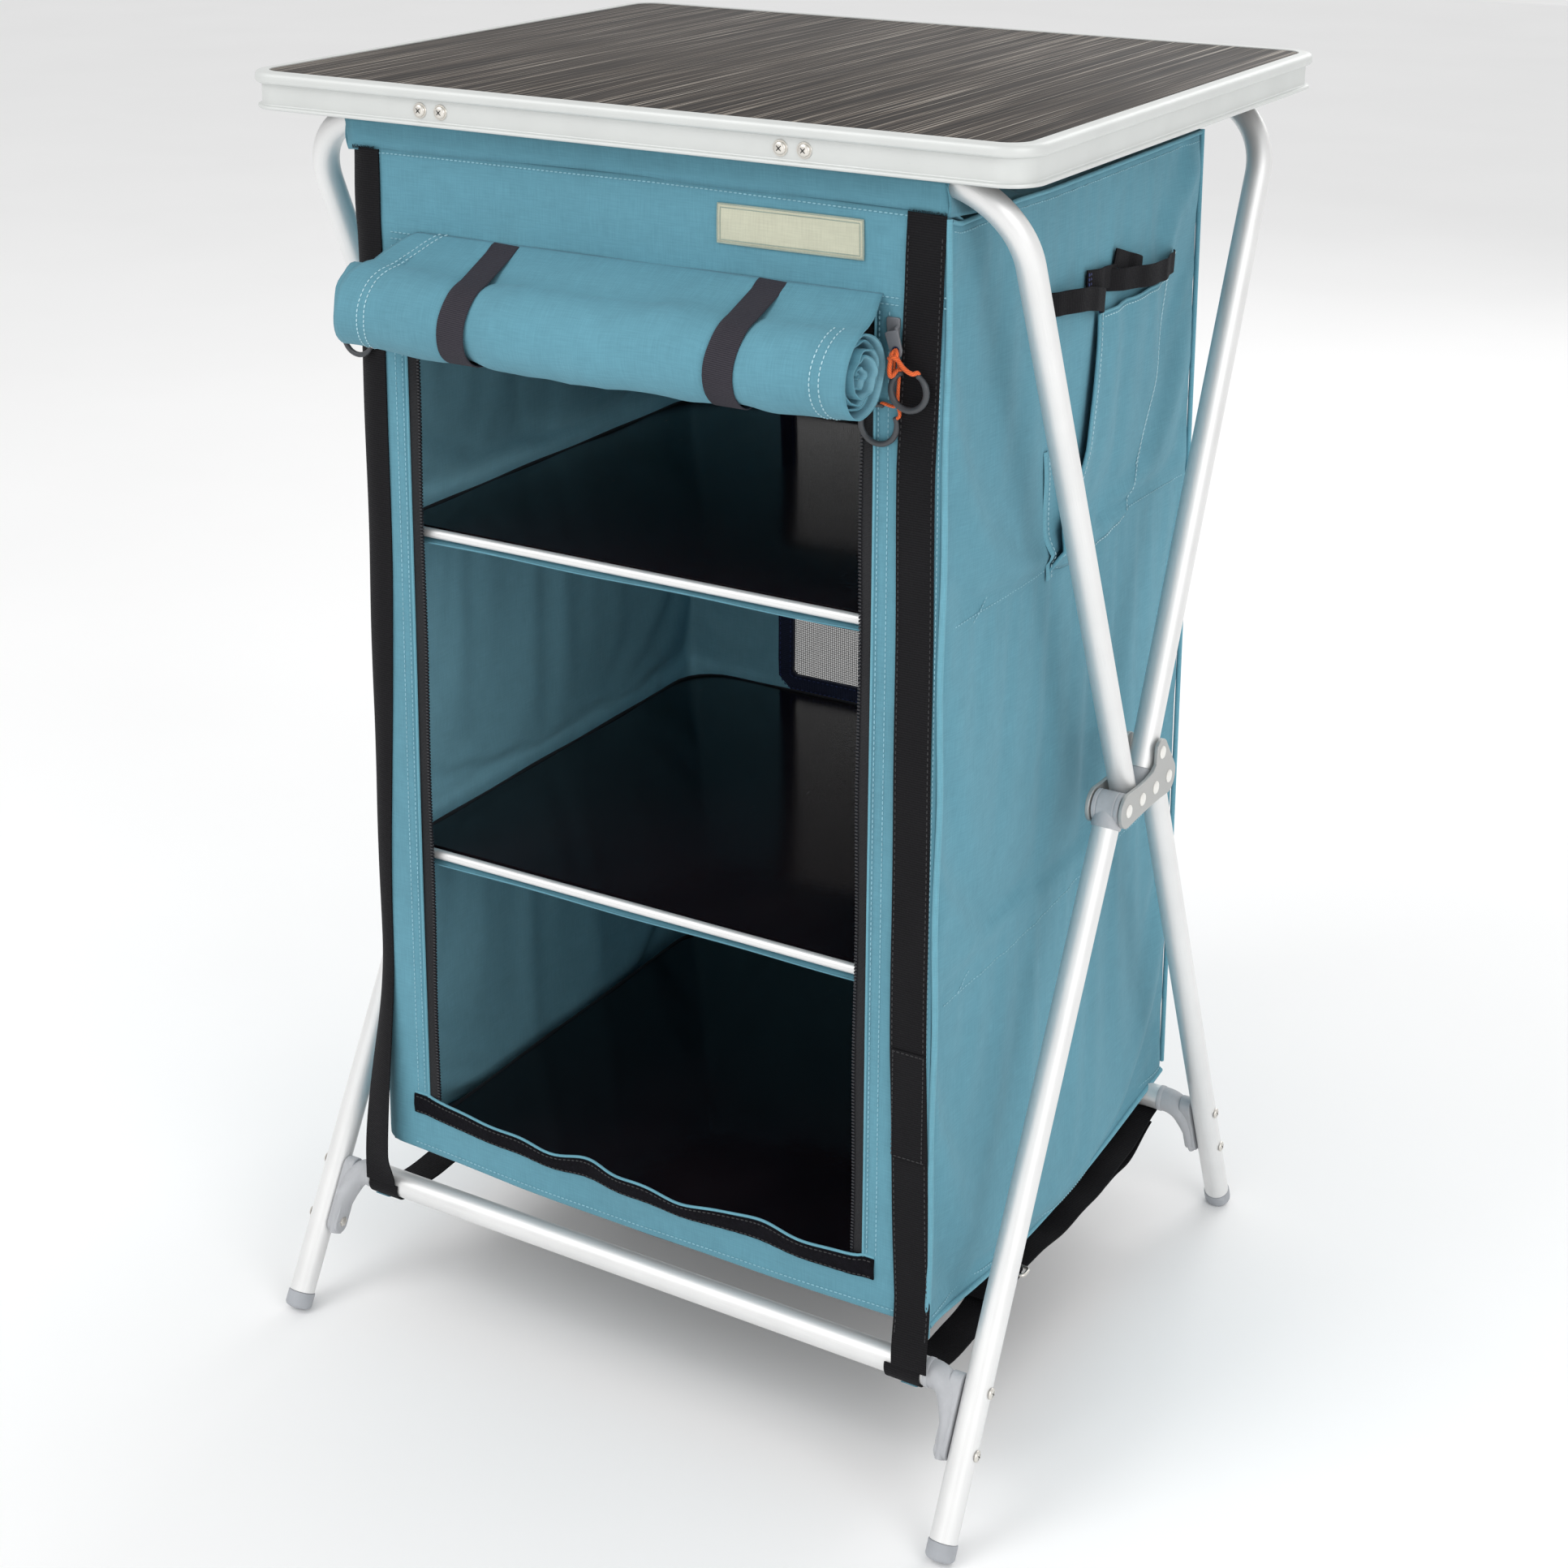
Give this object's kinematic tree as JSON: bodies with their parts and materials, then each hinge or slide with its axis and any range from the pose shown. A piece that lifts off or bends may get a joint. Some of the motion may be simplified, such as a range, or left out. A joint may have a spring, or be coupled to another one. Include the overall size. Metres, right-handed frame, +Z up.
{
  "type": "folding fabric camp kitchen cupboard",
  "caption": "Fabric camp kitchen cupboard with shelves and a rolled-up front door, hung in an X-legged folding tube frame under a rigid table top.",
  "frame": {"origin": "centre of the footprint on the ground, which is the middle of the bounding box's underside", "axes": "+Z up; the open front of the cupboard faces -Y; +X is to the right for a person who looks at the front from behind -Y"},
  "size_m": [0.6, 0.5437, 0.943],
  "materials": {
    "laminate": "brown-grey striped laminate, satin",
    "edge_aluminium": "white-silver, satin",
    "tube_aluminium": "satin silver",
    "steel": "plain",
    "hub_plate": "grey, satin",
    "grey_plastic": "matte",
    "blue_fabric": "coated woven polyester, teal blue",
    "black_webbing": "ribbed webbing, black",
    "black_board": "smooth, semi-gloss black",
    "mesh_cloth": "open mesh, dark",
    "pull_plastic": "dark grey, matte"
  },
  "bodies": {
    "cupboard": {"rear_hoop": "tube_aluminium", "rear_hoop_plug_left": "grey_plastic", "rear_hoop_plug_right": "grey_plastic", "hub_plate_outer_left": "hub_plate", "hub_plate_outer_right": "hub_plate", "hub_plate_inner_left": "hub_plate", "hub_plate_inner_right": "hub_plate", "front_leg_pin_left": "steel", "front_leg_pin_right": "steel", "rear_leg_pin_left": "steel", "rear_leg_pin_right": "steel", "bag_side_left": "blue_fabric", "bag_side_right": "blue_fabric", "bag_back": "blue_fabric", "mesh_window": "mesh_cloth", "bag_top": "blue_fabric", "bag_floor": "black_webbing", "side_pocket": "blue_fabric"},
    "front_hoop": {"front_hoop": "tube_aluminium"},
    "front_legs": {"front_cross_bar": "tube_aluminium", "leg_knuckle_left": "grey_plastic", "leg_knuckle_right": "grey_plastic", "front_leg_left": "tube_aluminium", "front_leg_right": "tube_aluminium", "front_foot_cap_left": "grey_plastic", "front_foot_cap_right": "grey_plastic", "front_elbow_left": "grey_plastic", "front_elbow_right": "grey_plastic"},
    "rear_legs": {"rear_cross_bar": "tube_aluminium", "rear_leg_left": "tube_aluminium", "rear_leg_right": "tube_aluminium", "rear_foot_cap_left": "grey_plastic", "rear_foot_cap_right": "grey_plastic", "rear_elbow_left": "grey_plastic", "rear_elbow_right": "grey_plastic"},
    "table_top": {"top_board": "laminate", "top_edge_frame": "edge_aluminium", "front_bracket_left": "grey_plastic", "front_bracket_right": "grey_plastic", "rear_bracket_left": "grey_plastic", "rear_bracket_right": "grey_plastic"},
    "bag_front": {"front_panel": "blue_fabric", "door_roll": "blue_fabric", "door_tie_left": "black_webbing", "door_tie_right": "black_webbing", "front_strap_left": "black_webbing", "front_strap_right": "black_webbing"},
    "upper_shelf": {"upper_shelf": "black_board", "upper_rail": "tube_aluminium"},
    "middle_shelf": {"middle_shelf": "black_board", "middle_rail": "tube_aluminium"},
    "floor_board": {"floor_board": "black_board"},
    "front_belly_straps": {"belly_strap_front_left": "black_webbing", "belly_strap_front_right": "black_webbing"},
    "rear_belly_straps": {"belly_strap_rear_left": "black_webbing", "belly_strap_rear_right": "black_webbing"},
    "zip_slider": {"zip_slider": "grey_plastic"},
    "zip_pull": {"zip_pull": "pull_plastic"},
    "zip_pull_inner": {"zip_pull_inner": "pull_plastic"},
    "zip_slider_left": {"zip_slider_left": "grey_plastic"}
  },
  "joints": [
    {"name": "fold", "type": "hinge", "parent": "cupboard", "child": "front_legs", "pos_m": [0, -0.0146, 0.445], "axis": [-1, 0, 0], "range_deg": [0, 165], "deforming": ["bag_side_left", "bag_side_right", "bag_back", "mesh_window", "bag_top", "bag_floor", "side_pocket", "front_panel", "front_strap_left", "front_strap_right"]},
    {"name": "rear_leg_fold", "type": "hinge", "parent": "cupboard", "child": "rear_legs", "pos_m": [0, 0.0574, 0.445], "axis": [1, 0, 0], "range_deg": [0, 126]},
    {"name": "front_hoop_fold", "type": "hinge", "parent": "cupboard", "child": "front_hoop", "pos_m": [0, 0.0094, 0.445], "axis": [-1, 0, 0], "range_deg": [0, 43.5]},
    {"name": "table_fold", "type": "hinge", "parent": "front_hoop", "child": "table_top", "pos_m": [0, -0.19436, 0.91362], "axis": [1, 0, 0], "range_deg": [0, 100]},
    {"name": "bag_front_hang", "type": "hinge", "parent": "front_hoop", "child": "bag_front", "pos_m": [0, -0.19436, 0.91362], "axis": [1, 0, 0], "range_deg": [0, 43.5]},
    {"name": "upper_shelf_fold", "type": "hinge", "parent": "cupboard", "child": "upper_shelf", "pos_m": [0, 0.10802, 0.69812], "axis": [1, 0, 0], "range_deg": [0, 90]},
    {"name": "middle_shelf_fold", "type": "hinge", "parent": "cupboard", "child": "middle_shelf", "pos_m": [0, 0.09177, 0.48187], "axis": [1, 0, 0], "range_deg": [0, 90]},
    {"name": "floor_board_fold", "type": "hinge", "parent": "cupboard", "child": "floor_board", "pos_m": [0, 0.01277, 0.33287], "axis": [1, 0, 0], "range_deg": [0, 90]},
    {"name": "front_belly_strap_hang", "type": "hinge", "parent": "front_legs", "child": "front_belly_straps", "pos_m": [0, -0.20421, 0.09849], "axis": [1, 0, 0], "range_deg": [0, 75]},
    {"name": "rear_belly_strap_hang", "type": "hinge", "parent": "rear_legs", "child": "rear_belly_straps", "pos_m": [0, 0.20119, 0.103], "axis": [-1, 0, 0], "range_deg": [0, 36]},
    {"name": "zip_slide", "type": "slide", "parent": "bag_front", "child": "zip_slider", "axis": [0, 0, -1], "range_m": [0, 0.59]},
    {"name": "pull_swing", "type": "hinge", "parent": "zip_slider", "child": "zip_pull", "pos_m": [0.2035, -0.2146, 0.8065], "axis": [-1, 0, 0], "range_deg": [0, 120]},
    {"name": "inner_pull_swing", "type": "hinge", "parent": "zip_slider", "child": "zip_pull_inner", "pos_m": [0.2035, -0.21, 0.805], "axis": [0, -1, 0], "range_deg": [0, 30]},
    {"name": "left_zip_slide", "type": "slide", "parent": "bag_front", "child": "zip_slider_left", "axis": [0, 0, -1], "range_m": [0, 0.56]}
  ],
  "couplings": [
    {"joint": "rear_leg_fold", "follows": "fold", "ratio": 0.76364},
    {"joint": "front_hoop_fold", "follows": "fold", "ratio": 0.26364},
    {"joint": "table_fold", "follows": "fold", "ratio": 0.60606},
    {"joint": "bag_front_hang", "follows": "fold", "ratio": 0.26364},
    {"joint": "upper_shelf_fold", "follows": "fold", "ratio": 0.54545},
    {"joint": "middle_shelf_fold", "follows": "fold", "ratio": 0.54545},
    {"joint": "floor_board_fold", "follows": "fold", "ratio": 0.54545},
    {"joint": "front_belly_strap_hang", "follows": "fold", "ratio": 0.45455},
    {"joint": "rear_belly_strap_hang", "follows": "fold", "ratio": 0.21818}
  ]
}
